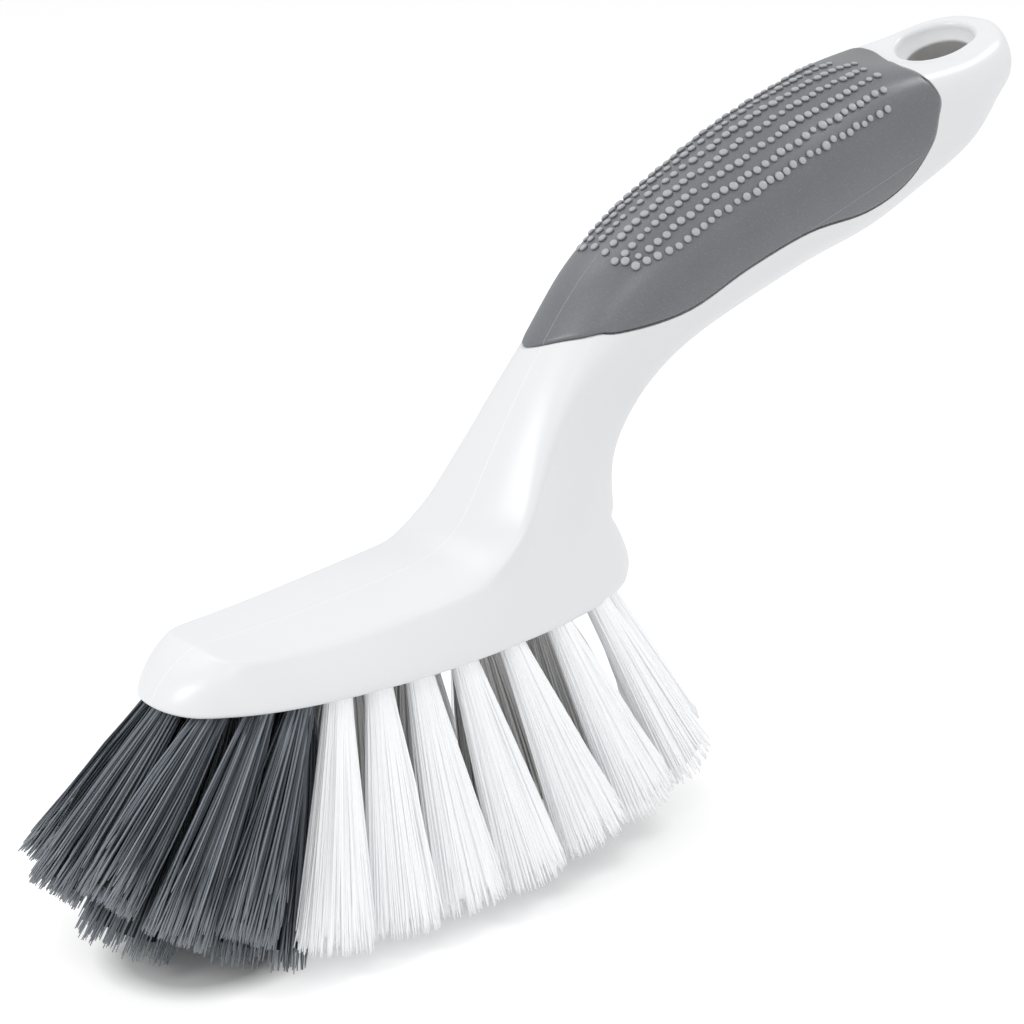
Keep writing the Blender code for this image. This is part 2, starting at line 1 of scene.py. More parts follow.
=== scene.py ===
"""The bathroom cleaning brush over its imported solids, for a studio render in the photograph's view.

Metres, +Z up, in the frame of the solids. The body and the grip are drawn in the head's own frame,
whose zero is the toe end of the flat underside, and then shifted onto their solids. The tufts take
their places from the anchors and bristle solids that they stand for.
"""

import math
import random

import bmesh
import bpy
import numpy as np
from mathutils import Matrix, Vector
from mathutils.bvhtree import BVHTree


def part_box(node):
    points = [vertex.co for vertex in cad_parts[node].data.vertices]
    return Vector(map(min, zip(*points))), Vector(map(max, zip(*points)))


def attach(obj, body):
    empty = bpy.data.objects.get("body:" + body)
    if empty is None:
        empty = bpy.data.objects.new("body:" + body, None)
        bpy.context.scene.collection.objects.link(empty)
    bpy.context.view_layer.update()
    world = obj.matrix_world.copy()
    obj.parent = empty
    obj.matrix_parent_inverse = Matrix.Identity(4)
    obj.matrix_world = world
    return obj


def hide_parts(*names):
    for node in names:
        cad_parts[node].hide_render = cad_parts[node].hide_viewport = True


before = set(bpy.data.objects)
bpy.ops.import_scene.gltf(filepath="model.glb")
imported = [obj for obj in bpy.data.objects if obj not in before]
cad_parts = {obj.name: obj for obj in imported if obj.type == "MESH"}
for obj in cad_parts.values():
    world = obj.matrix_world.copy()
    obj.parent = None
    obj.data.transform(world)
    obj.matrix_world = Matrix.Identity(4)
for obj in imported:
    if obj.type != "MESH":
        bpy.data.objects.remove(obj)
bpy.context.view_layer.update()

body_low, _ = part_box("handle_body")
# The moulding's lowest x in the head's own frame, where its toe bows out a little.
TOE_START = -0.000324
ORIGIN = Vector((body_low[0] - TOE_START, 0, body_low[2]))

# The moulding, as in its solid.
HEAD_LENGTH, HEAD_WIDTH, HEAD_HEIGHT = 0.1200, 0.0479, 0.0112
TOP_CROWN, RIM_ROUND, RIM_INSET = 0.0011, 0.0013, 0.0006
TOE_BOW, HEEL_BOW = 0.0038, 0.0015
HANDLE_LENGTH, HANDLE_RISE = 0.1236, 0.0957
NECK_DEPTH, NECK_WIDTH = 0.0350, 0.0285
GRIP_HEIGHT, GRIP_WIDTH = 0.0370, 0.0370
END_WIDTH, END_THICKNESS, END_BOW = 0.0346, 0.0150, 0.0016
END_SLOPE = math.radians(23)
# The neck's foot along the head, and how the head's sides lean as they rise.
NECK_FOOT = 0.780
DRAFT_POWER = 1.7
# Where the point halfway from the middle line to a ridge lies: across, outwards and upwards.
HALFWAY, HALFWAY_BOW, HALFWAY_CROWN = 0.55, 0.80, 0.75

# Along the head, in shares of its sizes: the rim's place and the ridge's, half widths of rim, side and
# ridge, heights of side and ridge, and the crown.
HEAD_STATIONS = (
    (0.024, 0.083, 0.445, 0.460, 0.410, 0.58, 0.90, 0.4),
    (0.062, 0.108, 0.605, 0.590, 0.526, 0.54, 0.89, 0.6),
    (0.142, 0.165, 0.818, 0.722, 0.580, 0.48, 0.865, 0.8),
    (0.285, 0.293, 0.952, 0.830, 0.647, 0.48, 0.91, 1.0),
    (0.435, 0.435, 1.000, 0.877, 0.697, 0.52, 1.055, 1.1),
    (0.555, 0.585, 0.956, 0.860, 0.710, 0.60, 1.24, 1.2),
    (0.660, 0.660, 0.889, 0.830, 0.710, 0.64, 1.31, 1.0),
    (0.758, 0.758, 0.802, 0.764, 0.664, 0.68, 1.42, 1.0),
    (0.855, 0.815, 0.664, 0.660, 0.630, 0.68, 1.50, 1.0),
    (0.934, 0.914, 0.475, 0.555, 0.500, 0.60, 1.61, 1.0),
    (0.988, 0.945, 0.272, 0.385, 0.300, 0.60, 1.37, 0.7),
)
# The head's stations between which the neck rises.
NECK_FIRST, NECK_LAST = 5, 9
# Half sections from the top middle to the bottom middle: sideways and upwards, in half sizes.
SECTION_OUTLINES = {
    "root": ((0, 0.91), (0.50, 0.88), (1.085, 0.74), (0.94, 0.36), (0.90, 0), (0.89, -0.33),
             (0.80, -0.88), (0.42, -1.07), (0, -1.09)),
    "foot": ((0, 0.90), (0.50, 0.855), (1.085, 0.70), (0.94, 0.33), (0.885, 0), (0.87, -0.35),
             (0.72, -0.79), (0.39, -0.97), (0, -1.00)),
    "neck": ((0, 0.965), (0.50, 0.915), (1.03, 0.76), (0.90, 0.33), (0.867, 0), (0.87, -0.38),
             (0.74, -0.78), (0.40, -0.97), (0, -1.00)),
    "throat": ((0, 1.145), (0.50, 1.075), (0.965, 0.885), (0.92, 0.40), (0.90, 0), (0.86, -0.42),
               (0.74, -0.78), (0.40, -0.97), (0, -1.00)),
    "grip": ((0, 1.02), (0.42, 0.935), (0.755, 0.745), (0.96, 0.42), (1.00, 0), (0.96, -0.42),
             (0.78, -0.78), (0.40, -0.98), (0, -1.03)),
    "yoke": ((0, 0.81), (0.50, 0.89), (0.87, 0.95), (0.99, 0.52), (1.00, 0), (0.96, -0.42),
             (0.79, -0.80), (0.43, -0.97), (0, -1.01)),
    "end": ((0, 1.00), (0.50, 0.99), (0.86, 0.85), (0.99, 0.41), (1.00, 0), (0.96, -0.42),
            (0.80, -0.80), (0.45, -0.97), (0, -1.00)),
}
SECTION_SIZES = {
    **dict.fromkeys(("root", "foot", "neck", "throat"), (NECK_DEPTH, NECK_WIDTH)),
    "grip": (GRIP_HEIGHT, GRIP_WIDTH),
    "end": (END_THICKNESS, END_WIDTH),
}
# Along the handle: reach, rise, slope in degrees, height, width and section.
HANDLE_STATIONS = (
    (0.000, 0.090, 86, 1.05, 1.09, "root"),
    (0.022, 0.156, 84, 1.00, 1.00, "foot"),
    (0.052, 0.241, 79, 0.84, 0.91, "neck"),
    (0.106, 0.330, 70, 0.735, 0.875, "throat"),
    (0.152, 0.420, 60, 0.715, 0.73, "grip"),
    (0.222, 0.511, 48, 0.78, 0.83, "grip"),
    (0.321, 0.583, 38, 0.82, 0.925, "grip"),
    (0.439, 0.650, 30, 0.87, 0.98, "grip"),
    (0.567, 0.719, 24, 0.95, 1.00, "grip"),
    (0.700, 0.761, 20.5, 1.00, 1.00, "grip"),
    (0.814, 0.815, 21.5, 2.16, 1.06, "end"),
)
# Along the hanging end: place, height, width, lift and section.
END_STATIONS = (
    (-0.57, 1.69, 1.12, 0.35, "yoke"),
    (0.00, 1.09, 1.00, 0.07, "end"),
    (0.42, 0.99, 0.90, -0.04, "end"),
    (0.68, 0.79, 0.66, -0.11, "end"),
    (0.83, 0.62, 0.36, -0.19, "end"),
)
# The sections that the grip's surface runs over, and its control points all round.
TUBE_SECTIONS, AROUND = slice(2, -2), 16
TOP_CREASE = 0.46
NECK_CREASES = (0.38, 0.38, 0.32, 0.20)
FRONT_CORNER, SIDE_CORNER = 2, 5
SURFACE_LEVELS = 3
MERGE_DISTANCE = 0.00001
SHARP_ANGLE = math.radians(38)

# The soft grip's edge, nearly as in its solid: reach and rise on the middle line, and how much more of
# both on the far side and less on the near side.
GRIP_EDGE = (
    (-0.100, 0.449, 0, -0.028),
    (0.007, 0.455, 0, -0.028),
    (0.044, 0.461, 0, -0.026),
    (0.074, 0.471, 0, -0.017),
    (0.102, 0.487, 0, -0.009),
    (0.134, 0.495, 0, -0.002),
    (0.266, 0.525, 0, 0),
    (0.390, 0.595, 0, 0),
    (0.535, 0.651, 0, 0),
    (0.685, 0.668, 0, 0),
    (0.783, 0.716, 0, 0),
    (0.838, 0.800, 0.001, 0),
    (0.855, 0.864, 0.006, 0),
    (0.870, 0.902, 0.015, 0),
    (0.872, 0.940, 0.031, 0),
    (0.872, 0.967, 0.041, 0),
    (0.874, 1.080, 0.041, 0),
)
EDGE_STEPS = 6
# Where the edge runs aslant, in shares of half the grip's width, and how softly that starts. Then the
# places across where the recess follows it, in shares of the skewed stretch, and how high it reaches.
GRIP_SKEW, SKEW_ROUND = 0.44, 0.0025
SKEW_PLACES = (-1.6, -1.3, -1.12, -1.0, -0.88, -0.7, -0.35, 0, 0.35, 0.7, 0.88, 1.0, 1.12, 1.3, 1.6)
PRISM_TOP = 1.30
GRIP_THICKNESS = 0.0022
RECESS_GAP = 0.00042
# The grip's lip over the moulding: how far in, and how high.
LIP_PROFILE = ((0.0, -0.00045), (0.00008, -0.00016), (0.00022, 0.00004), (0.00042, 0.00014),
               (0.00075, 0.00020), (0.00140, 0.00022))

# Lines over the handle's surface that find the grip's edge: their first and last start along it, how
# many at each end and on each side, how far they run, and their turn towards the sides.
GRIP_CORE = (3.4, 7.2)
CAP_RAYS, SIDE_RAYS = 130, 150
RAY_END, RAY_SPREAD = 2.39, 3.0
SEARCH_STEPS, HALVINGS = 90, 24
LEAST_SLANT, TINY = 0.35, 1e-9
INNER_RINGS = 26
INNER_CLEARANCE, SEAM_DISTANCE = 0.0001, 0.000001

# Parting lines: half width, and the part of it at full strength. Then where the body's ends, in head
# lengths, and on the grip's surface, where the grip's ends and where its side line starts and ends.
BODY_LINE, GRIP_LINE, SIDE_LINE = 0.00022, 0.00020, 0.00016
LINE_CORE, LINE_FADE = 0.4, 0.4
BODY_LINE_END = 1.3
GRIP_LINE_END = (3.25, 0.0)
SIDE_LINE_ENDS = ((5.6, -4.55), (7.95, -4.45))

# The hanging hole.
HANG_BORE, HANG_RIM, HANG_TAPER = 0.0150, 0.0190, 0.0042
HANG_SIDES = 96
BORE_EDGE, BORE_CLEAR = 0.0004, 2.0
RIM_STEPS, RIM_TURN, RIM_FLARE = 8, 11.5, 0.0030
RIM_CURVE = (0.0011, 0.0016)
RIM_LEVEL, RIM_FLAT, RIM_BLEND = 0.0001, 0.0106, 0.0165
# How far past the bore's wall, and past its taper, the hole's painted shade fades.
SHADE_ASIDE, SHADE_DEEP = (0.00006, 0.0002), (-0.0006, 0.0002)

# The dots on the grip, by place on its surface: along, and half width of their field there. The two
# outermost rows on each side start further in.
DOT_FIELD = ((3.2, 1.98), (4.2, 2.07), (4.6, 2.12), (4.85, 2.20), (5.2, 2.33), (6.0, 2.45), (7.0, 2.46),
             (7.8, 2.38), (8.4, 2.30))
DOT_ROWS, DOT_SPACE = 9, 0.585
DOT_START, DOT_END = 3.24, 8.16
ROW_STARTS, ROW_WITHIN, DOT_STEP = (3.80, 3.60), 0.4, 0.02
DOT_PITCH, PITCH_RANGE = 0.00240, (0.9, 1.14)
FIRST_SLACK, LAST_SLOPE, SIDE_SLACK, EDGE_SLACK = 0.16, 0.13, 0.045, 0.1
DOT_SIZES, SIZE_RANGE = (0.84, 0.92, 0.97, 1.0, 1.0, 1.04, 1.13), (0.96, 1.04)
DOT_RADIUS, DOT_HEIGHT = 0.00098, 0.00072
ROUNDEST, LONGEST = 1.0, 0.93
DOT_PROFILE = ((0.93, -0.5), (0.97, 0.0), (1.0, 0.25), (0.96, 0.48), (0.82, 0.74), (0.56, 0.92),
               (0.26, 0.99))
DOT_SIDES = 14

# The tufts' holes, their strands and the core inside each. Shares of a tuft's length run from its
# mouth to its tips.
TUFT_HOLE, TUFT_HOLE_DEPTH = 0.0056, 0.0056
HOLE_SIDES, HOLE_OVERRUN = 32, 0.004
SHORTEST_EDGE, SQUARE_WITHIN = 0.0001, 0.01
ROOT_FILL = 0.93
TUFT_ROOT = TUFT_HOLE / 2 * ROOT_FILL
TIPS_FROM = 0.8
OUTER_STRANDS, INNER_STRANDS = 165, 80
STRAND_RADIUS, RADIUS_RANGE = 0.00024, (0.88, 1.1)
STRAND_SIDES = 4
STRAND_STEPS = (-0.06, 0.0, 0.2, 0.42, 0.64, 0.84, 0.96, 1.0)
STRAND_SWELLS = (1.0, 1.0, 1.0, 1.0, 1.0, 0.95, 0.80, 0.45)
TURN_SLACK, TIP_SLACK = 0.2, 0.022
STRAY_SHARE, STRAY_REACH, STRAY_BOW = 0.06, 1.10, 2.5
MOST_RAGGED = 4
FLOOR_GAP = 0.0003
CORE_STEPS = (-0.06, 0.0, 0.2, 0.42, 0.64, 0.84, 0.92)
CORE_SIDES = 64
RIB_DEPTH, RIB_SLACK = 0.035, 0.03

# How a tuft is packed: how wide its tips spread, the share of its area inside the outer strands, how
# wide its core is, how far a strand bows, how far its tip falls short, and how late it spreads.
DARK_PACKING = (1.27, 0.62, 0.80, 0.0004, 0.0029, 1.12)
PALE_PACKING = (1.28, 0.91, 0.965, 0.00018, 0.0015, 1.12)
INNER_SPREAD, INNER_FLARE = 1.90, 0.62
DARK_TUFTS = ("toe", "corner", "dark", "inner_1", "inner_2")
# Nylon: two shades of the core (painted shade), two of the strands, their tips, roughness and faint painted
# glow.
NYLONS = {
    "charcoal_nylon": (((0.008, 0.009, 0.010), (0.022, 0.025, 0.029)),
                       ((0.034, 0.041, 0.049), (0.285, 0.318, 0.355)), (0.27, 0.295, 0.322), 0.30, 0.0),
    "white_nylon": (((0.93, 0.932, 0.937), (0.965, 0.967, 0.972)),
                    ((0.96, 0.966, 0.978), (0.98, 0.984, 0.992)), (0.98, 0.984, 0.992), 0.36, 0.085),
    # The inner pale tufts: the white nylon painted darker and warmer as painted shade, without glow.
    "white_nylon_painted_shade": (((0.66, 0.65, 0.635), (0.74, 0.73, 0.715)),
                           ((0.70, 0.69, 0.675), (0.80, 0.79, 0.775)), (0.97, 0.972, 0.975), 0.36, 0.0),
}

# The camera: the point that it faces, its turn, its distance and its lens, in mm.
VIEW_AIM = (0.083637, -0.008235, 0.023805)
VIEW_AZIMUTH, VIEW_ELEVATION = math.radians(-40), math.radians(19)
VIEW_DISTANCE = 0.540
SENSOR_WIDTH, FOCAL_LENGTH = 36, 91.7578125
NEAREST = 0.01

# The studio. Each lamp: name, place, the point that it faces, size and power. Then the world's
# strength on the brush, the floor's colour, the middle of a painted shadow on the floor under the toe's
# tufts, and how the floor's glow changes away from there, which shapes that painted shadow: the glow
# before and after, and how far away each is.
LAMPS = (
    ("left", (-1.00, 0.25, 0.75), (0, 0, 0.08), 0.35, 3.2),
    ("right", (0.75, -0.20, 1.00), (0, 0, 0.06), 0.35, 2.6),
    ("high", (-0.40, -0.50, 1.05), (0, 0, 0.06), 0.35, 0.9),
    ("back", (-0.10, 0.70, 1.00), (0, 0, 0.04), 0.5, 1.0),
    ("front", (-0.50, -1.10, 0.40), (0, 0, 0.06), 0.6, 0.6),
)
WORLD_STRENGTH = 0.96
FLOOR_SIZE, FLOOR_COLOUR = 4.0, (0.91, 0.91, 0.913)
PAINTED_SHADOW_SPOT = (-0.098, -0.004, 0)
FLOOR_GLOW_AND_PAINTED_SHADOW = ((0.0, 0.42, 0.014, 0.021), (0.0, -0.21, 0.024, 0.075))

SEED = 11


def handle_point(reach, rise):
    return Vector((HEAD_LENGTH * NECK_FOOT + HANDLE_LENGTH * reach, 0, HEAD_HEIGHT + HANDLE_RISE * rise))


END_ALONG = Vector((math.cos(END_SLOPE), 0, math.sin(END_SLOPE)))
END_UP = Vector((-math.sin(END_SLOPE), 0, math.cos(END_SLOPE)))


def handle_sections():
    sections = []
    for reach, rise, slope, height, width, kind in HANDLE_STATIONS:
        full_height, full_width = SECTION_SIZES[kind]
        sections.append((handle_point(reach, rise), math.radians(slope), full_height * height / 2,
                         full_width * width / 2, kind))
    for place, height, width, lift, kind in END_STATIONS:
        half_height = END_THICKNESS * height / 2
        middle = (handle_point(1, 1) + END_ALONG * (END_WIDTH / 2 * place)
                  + END_UP * (END_THICKNESS / 2 * lift - half_height))
        sections.append((middle, END_SLOPE, half_height, END_WIDTH * width / 2, kind))
    return sections


def section_points(section, inset=0.0):
    middle, slope, half_height, half_width, kind = section
    up = Vector((-math.sin(slope), 0, math.cos(slope)))
    half_width, half_height = half_width - inset, half_height - inset
    return [middle + Vector((0, sideways * half_width, 0)) + up * (upwards * half_height)
            for sideways, upwards in SECTION_OUTLINES[kind]]


def skin(builder, first, second):
    for index in range(len(first) - 1):
        builder.faces.new((first[index], first[index + 1], second[index + 1], second[index]))


def crease(builder, line, weights):
    layers = builder.edges.layers.float
    sharpness = layers.get("crease_edge") or layers.new("crease_edge")
    for first, second, weight in zip(line, line[1:], weights):
        builder.edges.get((first, second))[sharpness] = weight


def grid_cap(builder, ring, top, bottom, bow):
    rows = [top]
    for vertex in ring:
        middle = Vector((vertex.co.x, 0, vertex.co.z)) + bow
        halfway = Vector((vertex.co.x, vertex.co.y * HALFWAY, vertex.co.z)) + bow * HALFWAY_BOW
        rows.append((builder.verts.new(middle), builder.verts.new(halfway), vertex))
    rows.append(bottom)
    for upper, lower in zip(rows, rows[1:]):
        for column in range(2):
            builder.faces.new((upper[column], upper[column + 1], lower[column + 1], lower[column]))


def head_points(station):
    rim_place, ridge_place, rim, side, ridge, side_height, ridge_height, crown = station
    half = HEAD_WIDTH / 2
    rim_x, ridge_x = HEAD_LENGTH * rim_place, HEAD_LENGTH * ridge_place
    ridge_z, side_z = HEAD_HEIGHT * ridge_height, HEAD_HEIGHT * side_height

    def draft(height):
        return rim_x + (ridge_x - rim_x) * (height / ridge_z) ** DRAFT_POWER

    top = TOP_CROWN * crown
    return ((rim_x, 0, 0), (rim_x, half * rim / 2, 0), (rim_x, half * rim - RIM_INSET, 0),
            (draft(RIM_ROUND), half * rim, RIM_ROUND), (draft(side_z), half * side, side_z),
            (ridge_x, half * ridge, ridge_z),
            (ridge_x, half * ridge * HALFWAY, ridge_z + top * HALFWAY_CROWN),
            (ridge_x, 0, ridge_z + top))


def body_cage():
    builder = bmesh.new()
    rings = [[builder.verts.new(point) for point in head_points(station)] for station in HEAD_STATIONS]
    for number, (first, second) in enumerate(zip(rings, rings[1:])):
        # Where the neck rises, the head has no top.
        count = 6 if NECK_FIRST <= number < NECK_LAST else 8
        skin(builder, first[:count], second[:count])
    for ring, bow in ((rings[0], -TOE_BOW), (rings[-1], HEEL_BOW)):
        ring[0].co.x += bow
        ring[1].co.x += bow * HALFWAY_BOW
        grid_cap(builder, ring[4:2:-1], ring[7:4:-1], ring[:3], Vector((bow, 0, 0)))
    front, back = rings[NECK_FIRST], rings[NECK_LAST]
    sides = [ring[5] for ring in rings[NECK_FIRST + 1:NECK_LAST]]
    neck = [[*front[7:4:-1], *sides, *back[5:]]]
    for section in handle_sections():
        neck.append([builder.verts.new(point) for point in section_points(section)])
        skin(builder, neck[-2], neck[-1])
    top_edge = [rings[0][7], rings[0][6], *[ring[5] for ring in rings[:NECK_LAST]]]
    crease(builder, top_edge, [TOP_CREASE] * len(top_edge))
    for corner in (FRONT_CORNER, SIDE_CORNER):
        crease(builder, [ring[corner] for ring in neck], NECK_CREASES)
    previous = neck[-1]
    grid_cap(builder, previous[3:6], previous[:3], previous[:-4:-1], END_ALONG * END_BOW)
    return builder


def tube_cage(inset):
    builder = bmesh.new()
    rings = [[builder.verts.new(point) for point in section_points(section, inset)]
             for section in handle_sections()[TUBE_SECTIONS]]
    for first, second in zip(rings, rings[1:]):
        skin(builder, first, second)
    for ring in (rings[0], rings[-1]):
        grid_cap(builder, ring[3:6], ring[:3], ring[:-4:-1], Vector())
    return builder


def mesh_from(builder, name):
    mesh = bpy.data.meshes.new(name)
    bmesh.ops.recalc_face_normals(builder, faces=builder.faces[:])
    builder.to_mesh(mesh)
    builder.free()
    return mesh


def add_object(name, data):
    made = bpy.data.objects.new(name, data)
    bpy.context.scene.collection.objects.link(made)
    return made


def applied(source, name):
    """A plain mesh of the object with its modifiers applied. The object is removed."""
    bpy.context.view_layer.update()
    graph = bpy.context.evaluated_depsgraph_get()
    mesh = bpy.data.meshes.new_from_object(source.evaluated_get(graph), depsgraph=graph)
    mesh.name = name
    bpy.data.objects.remove(source)
    return mesh


def rounded(builder, name):
    """The smooth surface of half a cage and its mirror image."""
    source = add_object(name, mesh_from(builder, name))
    mirror = source.modifiers.new("both_sides", "MIRROR")
    mirror.use_axis = (False, True, False)
    mirror.use_clip = True
    mirror.merge_threshold = MERGE_DISTANCE
    rounding = source.modifiers.new("rounding", "SUBSURF")
    rounding.levels = rounding.render_levels = SURFACE_LEVELS
    return applied(source, name)


def cut_from(mesh, cutters, name):
    """The mesh with the cutter meshes taken out of it, one after another."""
    target = add_object(name, mesh)
    helpers = [add_object("cutter", cutter) for cutter in cutters]
    for helper in helpers:
        target.modifiers.new("cut", "BOOLEAN").object = helper
    result = applied(target, name)
    for helper in helpers:
        bpy.data.objects.remove(helper)
    return result


def smooth_line(points, steps):
    line = []
    for index in range(len(points) - 1):
        before = points[max(index - 1, 0)]
        start, end = points[index], points[index + 1]
        after = points[min(index + 2, len(points) - 1)]
        for step in range(steps):
            t = step / steps
            line.append((start * 2 + (end - before) * t
                         + (before * 2 - start * 5 + end * 4 - after) * t ** 2
                         + (start * 3 - before - end * 3 + after) * t ** 3) / 2)
    line.append(points[-1])
    return line


def grip_line(side):
    """The soft grip's edge on one side, as (x, z), from before the neck to over the hanging end."""
    edge = [handle_point(reach + side * more_reach, rise + side * more_rise)
            for reach, rise, more_reach, more_rise in GRIP_EDGE]
    edge = [Vector((point.x, point.z)) for point in edge]
    return [edge[0], *smooth_line(edge[1:], EDGE_STEPS)]


def grip_outline(side, grown):
    line = grip_line(side)
    top = HEAD_HEIGHT + HANDLE_RISE * PRISM_TOP
    line += [Vector((line[-1].x, top)), Vector((line[0].x, top))]
    moved = []
    for index, point in enumerate(line):
        before, after = line[index - 1], line[(index + 1) % len(line)]
        first, second = (point - before).normalized(), (after - point).normalized()
        first_out, second_out = Vector((first.y, -first.x)), Vector((second.y, -second.x))
        outwards = (first_out + second_out).normalized()
        moved.append(point + outwards * (grown / outwards.dot(first_out)))
    return moved


def skew_share(across):
    """0 on the near side of the handle and 1 on the far side, where the grip's edge runs aslant."""
    middle = GRIP_WIDTH / 2 * GRIP_SKEW
    turned = np.hypot(across + middle, SKEW_ROUND) - np.hypot(across - middle, SKEW_ROUND)
    return 0.5 + turned / middle / 4


def recess_mesh():
    """What is taken out of the moulding for the grip."""
    near, far = grip_outline(-1, RECESS_GAP), grip_outline(1, RECESS_GAP)
    places = [GRIP_WIDTH / 2 * GRIP_SKEW * place for place in SKEW_PLACES]
    builder = bmesh.new()
    rings = []
    for y in (-GRIP_WIDTH, *places, GRIP_WIDTH):
        share = float(skew_share(y))
        rings.append([builder.verts.new((first.x + (last.x - first.x) * share, y,
                                         first.y + (last.y - first.y) * share))
                      for first, last in zip(near, far)])
    for first, second in zip(rings, rings[1:]):
        for index in range(len(first)):
            after = (index + 1) % len(first)
            builder.faces.new((first[index], first[after], second[after]))
            builder.faces.new((first[index], second[after], second[index]))
    builder.faces.new(rings[0])
    builder.faces.new(rings[-1])
    prism = mesh_from(builder, "recess")
    core = rounded(tube_cage(GRIP_THICKNESS + RECESS_GAP), "recess_core")
    return cut_from(prism, [core], "recess")


def level_rim(body):
    """Lowers what stands over the hanging hole's plane round the hole, and blends out from there."""
    middle = handle_point(1, 1)
    for vertex in body.vertices:
        away = vertex.co - middle
        height = away.dot(END_UP)
        aside = (away - END_UP * height).length
        if height > RIM_LEVEL and aside < RIM_BLEND:
            share = min((RIM_BLEND - aside) / (RIM_BLEND - RIM_FLAT), 1.0)
            vertex.co -= END_UP * ((height - RIM_LEVEL) * share * share * (3 - 2 * share))


def hang_hole_mesh(body):
    """The hanging hole's cutter: a bore, a taper, and a rim that rounds over into the body's surface."""
    middle = handle_point(1, 1)
    surface = BVHTree.FromPolygons([vertex.co for vertex in body.vertices],
                                   [face.vertices[:] for face in body.polygons])
    builder = bmesh.new()
    columns = []
    for k in range(HANG_SIDES):
        angle = math.tau * k / HANG_SIDES
        outwards = END_ALONG * math.cos(angle) + Vector((0, math.sin(angle), 0))
        start = middle + outwards * (HANG_RIM / 2 + RIM_CURVE[0] / 2) + END_UP * END_THICKNESS
        top = (surface.ray_cast(start, -END_UP)[0] - middle).dot(END_UP)
        bore = HANG_BORE / 2
        profile = [(bore, -BORE_CLEAR * END_THICKNESS), (bore, -HANG_TAPER - BORE_EDGE),
                   (bore + BORE_EDGE / 4, -HANG_TAPER), (bore + BORE_EDGE, -HANG_TAPER + BORE_EDGE)]
        for step in range(RIM_STEPS):
            turn = math.radians(RIM_TURN * step)
            profile.append((HANG_RIM / 2 - RIM_CURVE[0] / 2 + RIM_CURVE[0] * (1 - math.cos(turn)),
                            top - RIM_CURVE[1] * (1 - math.sin(turn))))
        profile.append((HANG_RIM / 2 + RIM_FLARE, top + END_THICKNESS))
        columns.append([builder.verts.new(middle + END_UP * height + outwards * radius)
                        for radius, height in profile])
    for first, second in zip(columns, columns[1:] + columns[:1]):
        skin(builder, first, second)
    builder.faces.new([column[0] for column in columns])
    builder.faces.new([column[-1] for column in columns])
    return mesh_from(builder, "hang_hole")


def tuft_frames():
    """Each bristle solid's name, the mouth of its hole, its axis and its two directions across, and
    how long and wide it is, from its anchor and its own corners."""
    frames = []
    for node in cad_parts:
        if not node.startswith("tuft_"):
            continue
        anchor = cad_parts["anchor_" + node[5:]]
        corners = [anchor.matrix_world @ vertex.co for vertex in anchor.data.vertices]
        middle = sum(corners, Vector()) / len(corners)
        first = corners[0]
        edges = sorted((corner - first for corner in corners[1:]), key=lambda edge: edge.length)
        edges = [edge for edge in edges if edge.length > SHORTEST_EDGE]
        thin = edges[0].normalized()
        tall = next(edge for edge in edges if abs(edge.normalized().dot(thin)) < SQUARE_WITHIN)
        axis = (tall if tall.z < 0 else -tall).normalized()
        along = axis.cross(thin).normalized()
        across = axis.cross(along)
        mouth = middle + axis * ((body_low[2] - middle.z) / axis.z)
        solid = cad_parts[node]
        points = np.array([tuple(solid.matrix_world @ vertex.co - mouth) for vertex in solid.data.vertices])
        reach = points @ np.array(axis)
        tips = points[reach > reach.max() * TIPS_FROM]
        frames.append((node, mouth, axis, along, across, reach.max(),
                       np.abs(tips @ np.array(along)).max(), np.abs(tips @ np.array(across)).max()))
    return frames


def tuft_holes_mesh(frames):
    builder = bmesh.new()
    for _, mouth, axis, *_ in frames:
        start, end = mouth - ORIGIN - axis * TUFT_HOLE_DEPTH, mouth - ORIGIN + axis * HOLE_OVERRUN
        turn = axis.to_track_quat("Z", "Y").to_matrix().to_4x4()
        bmesh.ops.create_cone(builder, cap_ends=True, segments=HOLE_SIDES, radius1=TUFT_HOLE / 2,
                              radius2=TUFT_HOLE / 2, depth=(end - start).length,
                              matrix=Matrix.Translation((start + end) / 2) @ turn)
    return mesh_from(builder, "tuft_holes")


def distance_to_lines(points, near, far):
    """How far each point lies inside the soft grip's edge, seen from the side, and its direction from
    the edge."""
    blend = skew_share(points[:, 1])[:, None]
    place = points[:, [0, 2]]
    best = np.full(len(points), 1.0)
    side = np.full(len(points), 1.0)
    slope = np.zeros((len(points), 2))
    near, far = np.array([tuple(p) for p in near]), np.array([tuple(p) for p in far])
    for k in range(len(near) - 1):
        start, end = (near[i] * (1 - blend) + far[i] * blend for i in (k, k + 1))
        run = end - start
        share = np.clip(((place - start) * run).sum(1) / (run ** 2).sum(1), 0, 1)[:, None]
        offset = place - (start + run * share)
        distance = np.hypot(offset[:, 0], offset[:, 1])
        left = run[:, 0] * offset[:, 1] - run[:, 1] * offset[:, 0]
        closer = distance < best
        best = np.where(closer, distance, best)
        side = np.where(closer, np.sign(left), side)
        direction = offset / np.maximum(distance, TINY)[:, None]
        slope = np.where(closer[:, None], direction, slope)
    return best * side, slope


def spline_weights(t):
    return np.array(((1 - t) ** 3, 3 * t ** 3 - 6 * t ** 2 + 4, -3 * t ** 3 + 3 * t ** 2 + 3 * t + 1,
                     t ** 3)) / 6


def surface_grid():
    """The handle's control points, ring by ring, each all round from the bottom middle."""
    rings = []
    for section in handle_sections()[TUBE_SECTIONS]:
        half = np.array([tuple(point) for point in section_points(section)])
        other = half * (1, -1, 1)
        rings.append(np.concatenate((other[:0:-1], half[:-1])))
    return np.array(rings)


GRID = surface_grid()


